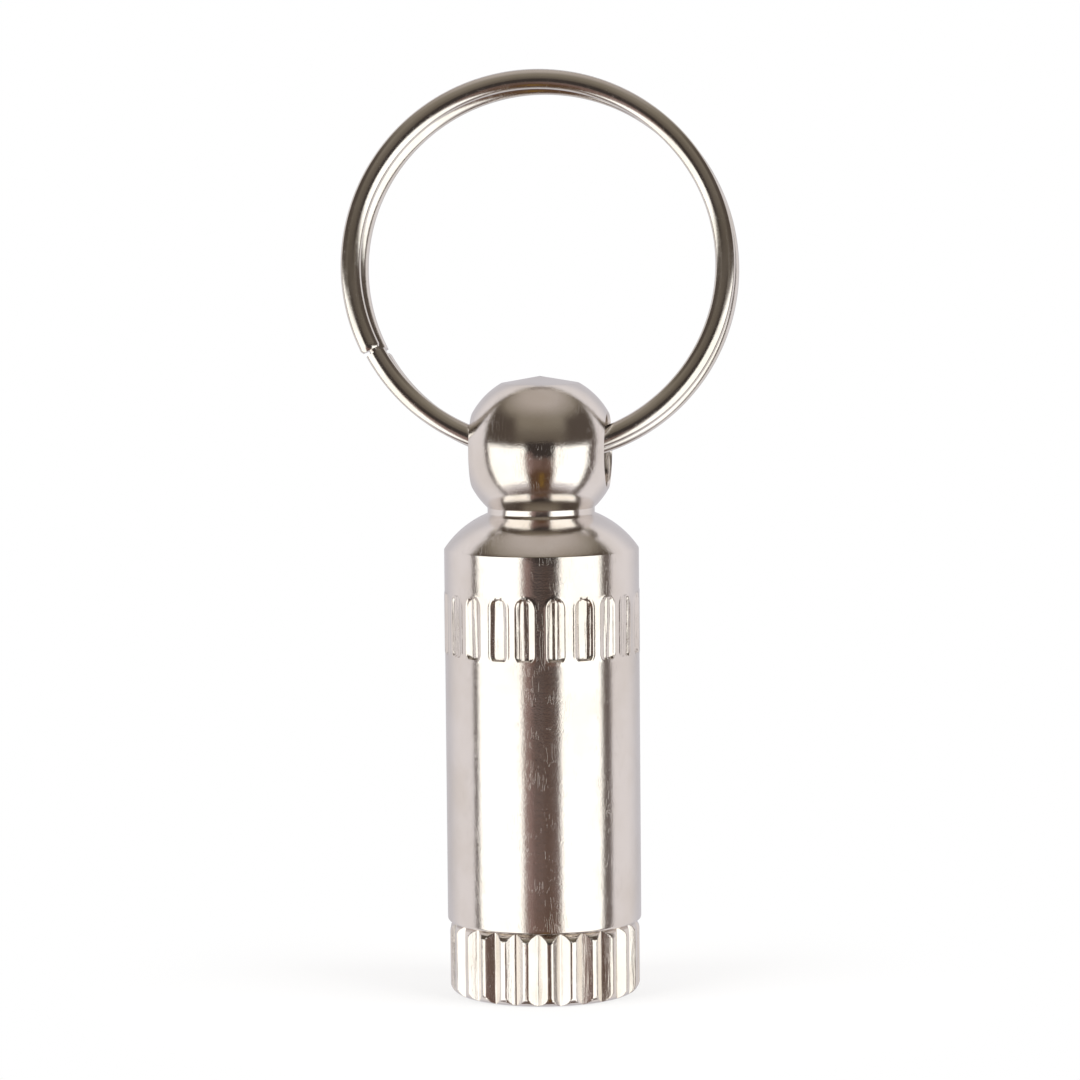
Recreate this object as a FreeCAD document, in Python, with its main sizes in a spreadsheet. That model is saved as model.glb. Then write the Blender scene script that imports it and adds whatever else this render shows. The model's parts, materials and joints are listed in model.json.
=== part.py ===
# A screw capsule on a split ring: a turned barrel with a ball head, closed from below by a knurled
# screw plug, with a rubber seal and a rolled paper slip inside.
# Millimetres. +Z runs along the barrel, the plug's flat end is at z = 0, and the ball's cross hole
# runs along X. Every solid of revolution is about Z.
import math
import os

import FreeCAD
import Part
import Sketcher
from FreeCAD import Vector, Placement, Rotation

doc = FreeCAD.newDocument("ScrewCapsule")

# ---------------------------------------------------------------- driving dimensions

sheet = doc.addObject("Spreadsheet::Sheet", "Sizes")

DIMENSIONS = [
    # the knurled plug
    ("plug_radius", 4.90),           # over the knurl crests
    ("plug_height", 3.70),           # from the flat end to the face under the barrel
    ("plug_end_radius", 4.50),       # flat end, inside its chamfer
    ("plug_end_chamfer", 0.45),
    ("plug_seam_radius", 4.60),      # face under the barrel, inside its chamfer
    ("plug_seam_chamfer", 0.58),
    ("knurl_count", 25),
    ("knurl_width", 0.98),           # of one V cut, at the crest circle
    ("knurl_depth", 0.345),
    ("knurl_first_angle", -1.0),     # degrees about +Z of the cut nearest +X
    # the screw thread, M8 x 0.75, and its relief
    ("thread_pitch", 0.75),
    ("stem_core_radius", 3.55),
    ("stem_crest_radius", 4.00),
    ("relief_radius", 3.46),
    ("relief_top", 4.95),
    ("relief_taper", 0.12),          # height of the cone between the relief and the thread's core
    ("stem_top", 9.00),
    ("stem_end_radius", 3.16),       # at the stem's tip, inside its lead cone
    ("stem_lead", 0.40),             # height of the lead cone
    ("thread_start", 0.60),          # from the relief's top to the first turn's middle
    ("thread_stop", 0.75),           # from the last turn's middle to the stem's top
    ("tap_overrun", 0.60),           # how far the barrel's thread runs above the stem
    ("thread_clearance", 0.06),
    ("crest_flat", 0.10),
    ("thread_flank", 30.0),          # degrees from a plane across the axis
    # the barrel
    ("barrel_radius", 5.00),
    ("seam_gap", 0.05),
    ("barrel_edge", 0.18),           # broken edge at the open end
    ("seat_radius", 4.42),           # counterbore that takes the seal
    ("seat_depth", 1.00),
    ("seat_taper", 0.25),            # height of the cone between the seat and the bore
    ("bore_radius", 3.62),
    ("bore_top", 21.20),
    ("bore_cone", 1.30),             # depth of the drill point's cone
    ("shoulder_low", 22.98),         # where the domed shoulder starts, at the barrel's side
    ("shoulder_top", 24.80),         # where it meets the neck
    ("shoulder_bulge", 0.22),        # how far the dome stands over a straight cone
    ("neck_radius", 2.75),
    ("ball_radius", 4.00),
    ("ball_height", 28.00),          # the ball's centre, the cross hole's axis and the swing axis
    ("ball_cap_radius", 2.00),       # where the ball's top is faced to a shallow cone
    ("ball_cap_rise", 0.36),
    ("hole_radius", 1.90),
    # the pressed grip flutes
    ("flute_count", 21),
    ("flute_low", 17.65),
    ("flute_high", 20.80),
    ("flute_width", 1.00),
    ("flute_depth", 0.14),
    ("flute_first_angle", 14.4),     # degrees about +Z from the -Y side
    # the seal and the paper slip
    ("seal_wire_radius", 0.44),
    ("seal_radius", 3.94),
    ("paper_radius", 3.50),
    ("paper_inner_radius", 3.08),
    ("paper_low", 9.30),
    ("paper_high", 20.90),
    # the split ring
    ("ring_radius", 9.52),           # to the middle of the wire
    ("wire_width", 1.10),            # across the ring's face
    ("wire_thickness", 0.62),        # along the ring's axis
    ("turn_gap", 0.05),
    ("ring_rise", 0.08),             # wire above the hole's axis, at the middle of the hole
    ("ring_lean", 10.0),             # degrees, top towards +Y
    ("ring_turn", 7.0),              # degrees about +Z, as the wire lies in the loose hole
    ("ring_end_angle", 207.6),       # the crank between the turns, anticlockwise from +X
    ("crank_half_angle", 4.0),
    ("end_gap_angle", 0.6),
]

for row, (alias, value) in enumerate(DIMENSIONS, start=1):
    sheet.set("A%d" % row, alias)
    sheet.set("B%d" % row, str(value))
    sheet.setAlias("B%d" % row, alias)
doc.recompute()


def size(alias):
    """The value of one driving dimension."""
    return float(getattr(sheet, alias))


def cell(expression):
    """An expression in the sheet's aliases, written with a dot before each alias."""
    return expression.replace("@", "Sizes.")


# ---------------------------------------------------------------- sketch helpers

def new_body(label):
    body = doc.addObject("PartDesign::Body", label)
    body.Label = label
    return body


def sketch_on(body, name, plane_role):
    """A sketch on one of the body's own origin planes."""
    sketch = body.newObject("Sketcher::SketchObject", name)
    for feature in body.Origin.OriginFeatures:
        if feature.Role == plane_role:
            sketch.AttachmentSupport = [(feature, "")]
    sketch.MapMode = "FlatFace"
    return sketch


def draw_outline(sketch, points, bound=()):
    """A closed outline of straight runs. bound lists (point index, "X" or "Y", expression)."""
    count = len(points)
    for index, (across, up) in enumerate(points):
        after = points[(index + 1) % count]
        sketch.addGeometry(Part.LineSegment(Vector(across, up, 0), Vector(after[0], after[1], 0)), False)
    for index in range(count):
        sketch.addConstraint(Sketcher.Constraint("Coincident", index, 2, (index + 1) % count, 1))
    for index, direction, expression in bound:
        drive(sketch, index, 1, direction, expression)


def drive(sketch, edge, end, direction, expression):
    """Sets one coordinate of a sketch point from the sheet."""
    point = sketch.getPoint(edge, end)
    value = point.x if direction == "X" else point.y
    number = sketch.addConstraint(Sketcher.Constraint("Distance" + direction, -1, 1, edge, end, value))
    sketch.setExpression("Constraints[%d]" % number, cell(expression))


def revolve(body, name, sketch):
    feature = body.newObject("PartDesign::Revolution", name)
    feature.Profile = sketch
    feature.ReferenceAxis = (sketch, ["V_Axis"])
    feature.Angle = 360.0
    return feature


THROUGH_SHARE = 4.0       # length of a through cut, as a share of what it passes


def cut_both_ways(body, name, sketch, length):
    """A pocket that runs the same distance to both sides of its sketch."""
    feature = body.newObject("PartDesign::Pocket", name)
    feature.Profile = sketch
    feature.SideType = "Symmetric"
    feature.Length = length
    return feature


def repeat_around(body, name, feature, count_expression):
    """Repeats one cut evenly around the Z axis."""
    pattern = body.newObject("PartDesign::PolarPattern", name)
    pattern.Originals = [feature]
    for axis in body.Origin.OriginFeatures:
        if axis.Role == "Z_Axis":
            pattern.Axis = (axis, [""])
    pattern.Angle = 360.0
    pattern.setExpression("Occurrences", cell(count_expression))
    body.Tip = pattern
    return pattern


def thread(body, name, kind, core, crest, low, height):
    """A helical rib or groove of trapezoid section, from core to crest radius."""
    flank = math.tan(math.radians(size("thread_flank")))
    crest_half = size("crest_flat") / 2.0
    root_half = crest_half + (crest - core) * flank
    profile = sketch_on(body, name + "_section", "XZ_Plane")
    inside = core - THREAD_BITE
    deep_half = root_half + THREAD_BITE * flank
    outline = [
        (inside, low - deep_half),
        (crest, low - crest_half),
        (crest, low + crest_half),
        (inside, low + deep_half),
    ]
    draw_outline(profile, outline)
    doc.recompute()
    helix = body.newObject("PartDesign::" + kind, name)
    helix.Profile = profile
    helix.ReferenceAxis = (profile, ["V_Axis"])
    helix.Mode = "pitch-height-angle"
    helix.setExpression("Pitch", cell("@thread_pitch"))
    helix.Height = height
    helix.Angle = 0.0
    body.Tip = helix
    return helix


THREAD_BITE = 0.08        # how far a thread's section runs into the metal it joins


# ---------------------------------------------------------------- screw plug

plug = new_body("screw_plug")
plug_outline = sketch_on(plug, "plug_outline", "XZ_Plane")
plug_points = [
    (0.0, 0.0),
    (size("plug_end_radius"), 0.0),
    (size("plug_radius"), size("plug_end_chamfer")),
    (size("plug_radius"), size("plug_height") - size("plug_seam_chamfer")),
    (size("plug_seam_radius"), size("plug_height")),
    (size("relief_radius"), size("plug_height")),
    (size("relief_radius"), size("relief_top")),
    (size("stem_core_radius"), size("relief_top") + size("relief_taper")),
    (size("stem_core_radius"), size("stem_top") - size("stem_lead")),
    (size("stem_end_radius"), size("stem_top")),
    (0.0, size("stem_top")),
]
draw_outline(plug_outline, plug_points, bound=[
    (0, "X", "0"), (0, "Y", "0"),
    (1, "X", "@plug_end_radius"), (1, "Y", "0"),
    (2, "X", "@plug_radius"), (2, "Y", "@plug_end_chamfer"),
    (3, "X", "@plug_radius"), (3, "Y", "@plug_height - @plug_seam_chamfer"),
    (4, "X", "@plug_seam_radius"), (4, "Y", "@plug_height"),
    (5, "X", "@relief_radius"), (5, "Y", "@plug_height"),
    (6, "X", "@relief_radius"), (6, "Y", "@relief_top"),
    (8, "X", "@stem_core_radius"), (8, "Y", "@stem_top - @stem_lead"),
    (10, "X", "0"), (10, "Y", "@stem_top"),
])
revolve(plug, "plug_turning", plug_outline)
doc.recompute()

knurl_outline = sketch_on(plug, "knurl_outline", "XY_Plane")
KNURL_OVERRUN = 0.30      # the cutter's triangle starts this far outside the crests
knurl_half = size("knurl_width") / 2.0
knurl_flank = knurl_half * (1.0 + KNURL_OVERRUN / size("knurl_depth"))
draw_outline(knurl_outline, [
    (size("plug_radius") - size("knurl_depth"), 0.0),
    (size("plug_radius") + KNURL_OVERRUN, -knurl_flank),
    (size("plug_radius") + KNURL_OVERRUN, knurl_flank),
], bound=[(0, "X", "@plug_radius - @knurl_depth")])
knurl_turn = Rotation(Vector(0, 0, 1), size("knurl_first_angle"))
knurl_outline.AttachmentOffset = Placement(Vector(0, 0, 0), knurl_turn)
knurl_cut = cut_both_ways(plug, "knurl_cut", knurl_outline, THROUGH_SHARE * size("plug_height"))
doc.recompute()
repeat_around(plug, "knurl", knurl_cut, "@knurl_count")
doc.recompute()

male_low = size("relief_top") + size("thread_start")
male_height = size("stem_top") - size("thread_stop") - male_low
thread(plug, "stem_thread", "AdditiveHelix",
       size("stem_core_radius"), size("stem_crest_radius"), male_low, male_height)
doc.recompute()

# ---------------------------------------------------------------- barrel

barrel = new_body("barrel")
barrel_low = size("plug_height") + size("seam_gap")
seat_top = barrel_low + size("seat_depth")
edge = size("barrel_edge")

barrel_outline = sketch_on(barrel, "barrel_outline", "XZ_Plane")


def run(start, end):
    return Part.LineSegment(Vector(start[0], start[1], 0), Vector(end[0], end[1], 0))


def bow(start, middle, end):
    return Part.Arc(Vector(start[0], start[1], 0), Vector(middle[0], middle[1], 0), Vector(end[0], end[1], 0))


def beside(start, end, distance):
    """The point at a distance to the right of the middle of the run from start to end."""
    along = Vector(end[0] - start[0], end[1] - start[1], 0).normalize()
    return (
        (start[0] + end[0]) / 2.0 + along.y * distance,
        (start[1] + end[1]) / 2.0 - along.x * distance,
    )


def ball_place(radius, above):
    """The point of the ball's outline at a radius, above or below its centre."""
    rise = math.sqrt(size("ball_radius") ** 2 - radius ** 2)
    return (radius, size("ball_height") + (rise if above else -rise))


shoulder_foot = (size("barrel_radius"), size("shoulder_low"))
neck_foot = (size("neck_radius"), size("shoulder_top"))
neck_top = ball_place(size("neck_radius"), above=False)
cap_edge = ball_place(size("ball_cap_radius"), above=True)
cap_top = (0.0, cap_edge[1] + size("ball_cap_rise"))
outer_side = [
    (size("seat_radius"), barrel_low),
    (size("barrel_radius") - edge, barrel_low),
    (size("barrel_radius"), barrel_low + edge),
    shoulder_foot,
]
bore_side = [
    cap_edge,
    cap_top,
    (0.0, size("bore_top") + size("bore_cone")),
    (size("bore_radius"), size("bore_top")),
    (size("bore_radius"), seat_top + size("seat_taper")),
    (size("seat_radius"), seat_top),
    (size("seat_radius"), barrel_low),
]
segments = [run(a, b) for a, b in zip(outer_side, outer_side[1:])]
segments.append(bow(shoulder_foot, beside(shoulder_foot, neck_foot, size("shoulder_bulge")), neck_foot))
segments.append(run(neck_foot, neck_top))
segments.append(bow(neck_top, (size("ball_radius"), size("ball_height")), cap_edge))
segments += [run(a, b) for a, b in zip(bore_side, bore_side[1:])]
for segment in segments:
    barrel_outline.addGeometry(segment, False)
for number, expression in ((1, "@barrel_radius"), (2, "@barrel_radius")):
    drive(barrel_outline, number, 2, "X", expression)
revolve(barrel, "barrel_turning", barrel_outline)
doc.recompute()

hole_outline = sketch_on(barrel, "hole_outline", "YZ_Plane")
hole_outline.addGeometry(
    Part.Circle(Vector(0, size("ball_height"), 0), Vector(0, 0, 1), size("hole_radius")), False)
hole_radius_rule = hole_outline.addConstraint(Sketcher.Constraint("Radius", 0, size("hole_radius")))
hole_outline.setExpression("Constraints[%d]" % hole_radius_rule, cell("@hole_radius"))
drive(hole_outline, 0, 3, "X", "0")
drive(hole_outline, 0, 3, "Y", "@ball_height")
cut_both_ways(barrel, "cross_hole", hole_outline, THROUGH_SHARE * size("ball_radius"))
doc.recompute()

# One grip flute: a round-ended slot pressed into the barrel's side, then repeated.
flute_outline = sketch_on(barrel, "flute_outline", "XZ_Plane")
flute_half = size("flute_width") / 2.0
flute_low = size("flute_low") + flute_half
flute_high = size("flute_high") - flute_half
flute_outline.addGeometry(run((flute_half, flute_low), (flute_half, flute_high)), False)
flute_outline.addGeometry(
    bow((flute_half, flute_high), (0.0, size("flute_high")), (-flute_half, flute_high)), False)
flute_outline.addGeometry(run((-flute_half, flute_high), (-flute_half, flute_low)), False)
flute_outline.addGeometry(
    bow((-flute_half, flute_low), (0.0, size("flute_low")), (flute_half, flute_low)), False)
flute_turn = Rotation(Vector(0, 1, 0), size("flute_first_angle"))
flute_floor = Vector(0, 0, size("barrel_radius") - size("flute_depth"))
flute_outline.AttachmentOffset = Placement(flute_turn.multVec(flute_floor), flute_turn)
flute_cut = barrel.newObject("PartDesign::Pocket", "flute_cut")
flute_cut.Profile = flute_outline
flute_cut.Reversed = True
flute_cut.Length = size("flute_width")
doc.recompute()
repeat_around(barrel, "flutes", flute_cut, "@flute_count")
doc.recompute()

TAP_LEAD_TURNS = 2.0      # turns cut below the stem's first one, so that the two threads agree
female_low = male_low - TAP_LEAD_TURNS * size("thread_pitch")
female_height = size("stem_top") + size("tap_overrun") - female_low
thread(barrel, "bore_thread", "SubtractiveHelix", size("bore_radius"),
       size("stem_crest_radius") + size("thread_clearance"), female_low, female_height)
doc.recompute()

# ---------------------------------------------------------------- seal and paper slip

seal = doc.addObject("Part::Torus", "seal_ring")
seal.Label = "seal_ring"
seal.setExpression("Radius1", cell("@seal_radius"))
seal.setExpression("Radius2", cell("@seal_wire_radius"))
seal.setExpression("Placement.Base.z", cell("@plug_height + @seal_wire_radius"))

paper_outer = doc.addObject("Part::Cylinder", "paper_outer")
paper_outer.setExpression("Radius", cell("@paper_radius"))
paper_outer.setExpression("Height", cell("@paper_high - @paper_low"))
paper_inner = doc.addObject("Part::Cylinder", "paper_inner")
paper_inner.setExpression("Radius", cell("@paper_inner_radius"))
paper_inner.setExpression("Height", cell("@paper_high - @paper_low"))
paper = doc.addObject("Part::Cut", "paper_slip")
paper.Label = "paper_slip"
paper.Base = paper_outer
paper.Tool = paper_inner
paper.setExpression("Placement.Base.z", cell("@paper_low"))

# ---------------------------------------------------------------- split ring

def ring_point(angle, level):
    """A point on the wire's middle line, in the ring's own plane: X across, Z up, Y its axis."""
    radius = size("ring_radius")
    return Vector(radius * math.cos(angle), level, radius * math.sin(angle))


def travelled(distance):
    """The angle reached after some travel along the wire, which runs clockwise from the crank."""
    return math.radians(size("ring_end_angle")) - distance


def ring_arc(start, end, level):
    places = [ring_point(travelled(along), level) for along in (start, (start + end) / 2.0, end)]
    return Part.Arc(*places).toShape()


def wire_direction(distance):
    angle = travelled(distance)
    return Vector(math.sin(angle), 0, -math.cos(angle))


def wire_section(distance, level):
    """The wire's oval section, standing across the path, with its long axis across the ring's face."""
    angle = travelled(distance)
    oval = Part.Ellipse(ring_point(angle, level), size("wire_width") / 2.0, size("wire_thickness") / 2.0)
    oval.Axis = wire_direction(distance)
    oval.XAxis = Vector(math.cos(angle), 0, math.sin(angle))
    return Part.Wire(oval.toShape())


CRANK_STEPS = 8           # points along the crank's curve


def split_ring_shape():
    """Two turns of one wire. The front turn's free end lies beside the crank to the back turn."""
    level = (size("wire_thickness") + size("turn_gap")) / 2.0
    crank = math.radians(size("crank_half_angle"))
    lead = crank + math.radians(size("end_gap_angle"))
    full = 2.0 * math.pi
    # The crank crosses from the front level to the back one along a half cosine.
    crossing = []
    for step in range(CRANK_STEPS + 1):
        share = step / CRANK_STEPS
        place = travelled(full - crank + 2.0 * crank * share)
        crossing.append(ring_point(place, -level * math.cos(math.pi * share)))
    crank_curve = Part.BSplineCurve()
    crank_curve.interpolate(Points=crossing, InitialTangent=wire_direction(full - crank),
                            FinalTangent=wire_direction(full + crank))
    path = Part.Wire([
        ring_arc(lead, full - crank, -level),
        crank_curve.toShape(),
        ring_arc(full + crank, 2.0 * full - lead, level),
    ])
    sweep = Part.BRepOffsetAPI.MakePipeShell(path)
    sweep.setBiNormalMode(Vector(0, 1, 0))
    sweep.add(wire_section(lead, -level))
    sweep.build()
    sweep.makeSolid()
    return sweep.shape()


split_ring = doc.addObject("Part::Feature", "split_ring")
split_ring.Label = "split_ring"
split_ring.Shape = split_ring_shape()
ring_pose = Rotation(Vector(0, 0, 1), size("ring_turn")) * Rotation(Vector(1, 0, 0), -size("ring_lean"))
upright_centre = Vector(0, 0, size("ring_rise") + size("ring_radius"))
split_ring.Placement = Placement(
    Vector(0, 0, size("ball_height")) + ring_pose.multVec(upright_centre), ring_pose)

# ---------------------------------------------------------------- check and write

doc.recompute()
parts = [plug, barrel, seal, paper, split_ring]
for item in doc.Objects:
    if "Invalid" in item.State or "Error" in item.State:
        raise RuntimeError("%s failed: %s" % (item.Name, item.State))
os.makedirs("parts", exist_ok=True)
for item in parts:
    shape = item.Shape
    if shape.isNull() or not shape.isValid():
        raise RuntimeError("%s has no valid shape" % item.Label)
    print("%-12s solids %d volume %.2f box z %.2f to %.2f" % (
        item.Label, len(shape.Solids), shape.Volume, shape.BoundBox.ZMin, shape.BoundBox.ZMax))
    shape.exportStep("parts/%s.step" % item.Label)
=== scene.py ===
import json
import math

import bmesh
import bpy
from bpy.props import FloatProperty, FloatVectorProperty, IntProperty, PointerProperty
from mathutils import Euler, Matrix, Vector


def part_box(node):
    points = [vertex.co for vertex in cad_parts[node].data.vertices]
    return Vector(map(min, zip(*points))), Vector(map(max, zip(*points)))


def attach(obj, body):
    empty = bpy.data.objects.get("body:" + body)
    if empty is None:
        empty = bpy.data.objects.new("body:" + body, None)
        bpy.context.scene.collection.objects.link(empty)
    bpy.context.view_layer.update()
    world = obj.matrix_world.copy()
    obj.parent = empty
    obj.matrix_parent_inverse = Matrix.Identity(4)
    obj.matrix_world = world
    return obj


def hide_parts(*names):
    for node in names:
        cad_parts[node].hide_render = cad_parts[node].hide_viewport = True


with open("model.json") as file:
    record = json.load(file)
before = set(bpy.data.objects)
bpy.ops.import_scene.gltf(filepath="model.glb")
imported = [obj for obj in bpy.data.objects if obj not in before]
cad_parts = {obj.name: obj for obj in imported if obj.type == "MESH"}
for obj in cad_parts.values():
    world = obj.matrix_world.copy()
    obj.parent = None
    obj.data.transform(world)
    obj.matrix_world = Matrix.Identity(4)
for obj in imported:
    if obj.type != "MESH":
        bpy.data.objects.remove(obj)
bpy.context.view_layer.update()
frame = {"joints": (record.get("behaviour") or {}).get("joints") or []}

bl_info = {
    "name": "Screw capsule on a split ring",
    "version": (1, 0, 0),
    "blender": (4, 5, 0),
    "location": "3D View > Sidebar > Capsule",
    "description": "Builds a nickel plated screw capsule, its knurled plug, seal, paper slip and split ring",
    "category": "Object",
}

MM = 0.001
JOINTS = {joint["name"]: joint for joint in frame["joints"]}
BARREL_LOW, BARREL_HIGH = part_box("barrel")
PLUG_LOW, PLUG_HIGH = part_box("screw_plug")
SLIP_LOW, SLIP_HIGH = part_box("paper_slip")
SEAL_LOW, SEAL_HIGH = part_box("seal_ring")


# ---------------------------------------------------------------- properties

def length(name, millimetres, description):
    return FloatProperty(name=name, description=description, default=millimetres * MM,
                         min=0.0, precision=5, unit="LENGTH")


def angle(name, degrees, description):
    return FloatProperty(name=name, description=description, default=math.radians(degrees),
                         subtype="ANGLE")


def colour(name, value, description):
    return FloatVectorProperty(name=name, description=description, default=value, size=3,
                               min=0.0, max=1.0, subtype="COLOR")


class CapsuleBarrelSizes(bpy.types.PropertyGroup):
    wall_radius: length("Barrel radius", 5.0, "Outside radius of the sleeve")
    seat_radius: length("Seat radius", 4.42, "Counterbore that takes the seal")
    seat_depth: length("Seat depth", 1.0, "Depth of the counterbore")
    bore_radius: length("Bore radius", 3.62, "Radius of the blind bore, at the thread's crests")
    bore_top: length("Bore top", 21.2, "Height of the bore's end, before the drill point")
    drill_point: length("Drill point", 1.3, "Depth of the drill point's cone")
    mouth_round: length("Mouth rounding", 0.16, "Broken edge round the open end")
    shoulder_low: length("Shoulder foot", 22.98, "Height where the domed shoulder starts")
    shoulder_top: length("Shoulder top", 24.8, "Height where the shoulder meets the neck")
    shoulder_bulge: length("Shoulder bulge", 0.22, "Height of the dome over a straight cone")
    neck_radius: length("Neck radius", 2.75, "Radius of the short neck under the ball")
    ball_radius: length("Ball radius", 4.0, "Radius of the ball head")
    cap_radius: length("Cap radius", 2.0, "Radius where the ball's top is faced to a shallow cone")
    cap_rise: length("Cap rise", 0.36, "Height of the shallow cone")
    hole_radius: length("Hole radius", 1.9, "Radius of the cross hole through the ball")
    hole_flare: length("Hole flare", 0.2, "Rounding of the cross hole's mouths")


class CapsuleFluteSizes(bpy.types.PropertyGroup):
    count: IntProperty(name="Flutes", description="Pressed grip flutes round the sleeve", default=21, min=3)
    low: length("Low end", 17.66, "Height of the flutes' lower ends")
    high: length("High end", 20.82, "Height of the flutes' upper ends")
    width: length("Width", 1.0, "Width of one flute")
    depth: length("Depth", 0.115, "Depth of one flute at its middle")
    burr: length("Burr", 0.02, "Height of the metal raised round a flute")
    ripple: length("Ripple", 0.042, "Height of the ridges left in a flute by the pressing tool")
    first: angle("First flute", -75.6, "Angle of the first flute from +X")
    seed: IntProperty(name="Seed", description="Seed of the flutes' unevenness", default=4, min=0)


class CapsulePlugSizes(bpy.types.PropertyGroup):
    crest_radius: length("Knurl radius", 4.9, "Radius over the knurl's crests")
    end_radius: length("End radius", 4.5, "Radius of the flat end, inside its chamfer")
    end_chamfer: length("End chamfer", 0.45, "Height of the chamfer at the flat end")
    head_height: length("Head height", 3.7, "Height of the knurled head")
    seam_radius: length("Seam radius", 4.6, "Radius of the head's face under the barrel")
    seam_chamfer: length("Seam chamfer", 0.58, "Height of the chamfer under the barrel")
    knurl_count: IntProperty(name="Knurl cuts", description="V cuts round the head", default=25, min=3)
    knurl_width: length("Cut width", 0.985, "Width of one V cut at the crests")
    knurl_depth: length("Cut depth", 0.345, "Depth of one V cut")
    knurl_first: angle("First cut", -1.0, "Angle of the cut nearest +X")
    relief_radius: length("Relief radius", 3.46, "Radius of the relief that holds the seal")
    relief_top: length("Relief top", 4.95, "Height where the relief ends")
    core_radius: length("Core radius", 3.55, "Radius between the stem's threads")


class CapsuleThreadSizes(bpy.types.PropertyGroup):
    pitch: length("Pitch", 0.75, "Rise of the thread in one turn")
    crest_radius: length("Crest radius", 4.0, "Outside radius of the stem's thread")
    clearance: length("Clearance", 0.06, "Gap between the two threads at the crests")
    run_out: length("Run-out", 0.6, "Length over which a thread fades at its ends")


class CapsuleRingSizes(bpy.types.PropertyGroup):
    radius: length("Ring radius", 9.55, "Radius to the middle of the wire")
    wire_width: length("Wire width", 1.04, "Width of the wire across the ring's face")
    wire_thickness: length("Wire thickness", 0.62, "Thickness of one turn along the ring's axis")
    turn_gap: length("Turn gap", 0.05, "Gap between the two turns")
    turn_shift: length("Turn shift", 0.30, "Distance that the back turn lies to one side")
    turn_drop: length("Turn drop", 0.12, "Distance that the back turn lies lower than the front one")
    twist: angle("Twist", 32.0, "Turn of the wire's section in the back turn")
    spring: length("Spring", 0.14, "Distance that the free end springs outwards")
    rise: length("Rise", 9.6, "Distance from the swing axis to the ring's centre")
    lean: angle("Lean", 10.0, "Lean of the ring away from the front at rest")
    turn: angle("Turn", 7.0, "Turn of the ring about +Z, as it lies in the loose hole")
    end_angle: angle("Wire end", 207.6, "Place of the crank and the free end, anticlockwise from +X")
    crank: angle("Crank", 0.5, "Half of the stretch over which the wire crosses between turns")
    end_gap: angle("End gap", 0.2, "Gap between a free end and the crank")


class CapsuleSlipSizes(bpy.types.PropertyGroup):
    turns: FloatProperty(name="Turns", description="Times the slip is rolled round", default=4.2, min=1.0)
    thickness: length("Paper thickness", 0.06, "Thickness of the paper")


class CapsuleFinish(bpy.types.PropertyGroup):
    nickel: colour("Nickel", (0.83, 0.795, 0.765), "Colour of the bright nickel plate")
    nickel_shade: colour("Nickel shade", (0.77, 0.725, 0.675), "Colour of the plate where it is thin")
    ring_metal: colour("Ring metal", (0.80, 0.775, 0.745), "Colour of the plated spring wire")
    ring_shade: colour("Ring shade", (0.72, 0.69, 0.64), "Colour of the wire where it is rubbed")
    rubber: colour("Rubber", (0.018, 0.018, 0.02), "Colour of the seal")
    paper: colour("Paper", (0.83, 0.79, 0.70), "Colour of the paper slip")
    floor: colour("Floor", (0.93, 0.93, 0.93), "Colour of the floor")


class CapsuleStageSizes(bpy.types.PropertyGroup):
    distance: length("Camera distance", 217.5, "Distance from the camera to the aim point")
    lens: FloatProperty(name="Lens", description="Focal length", default=141.2, min=1.0, unit="CAMERA")
    azimuth: angle("Azimuth", 7.0, "Turn of the camera round the object from the front")
    elevation: angle("Elevation", 5.26, "Height angle of the camera")
    aim_height: length("Aim height", 23.39, "Height that the camera looks at")
    aim_side: FloatProperty(name="Aim side", description="Aim point beside the axis, to the right",
                            default=-0.072 * MM, precision=5, unit="LENGTH")
    roll: angle("Roll", -0.5, "Turn of the camera about its own line of sight")
    floor_radius: length("Floor radius", 900.0, "Radius of the round floor")


# ---------------------------------------------------------------- node tree helper

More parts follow.
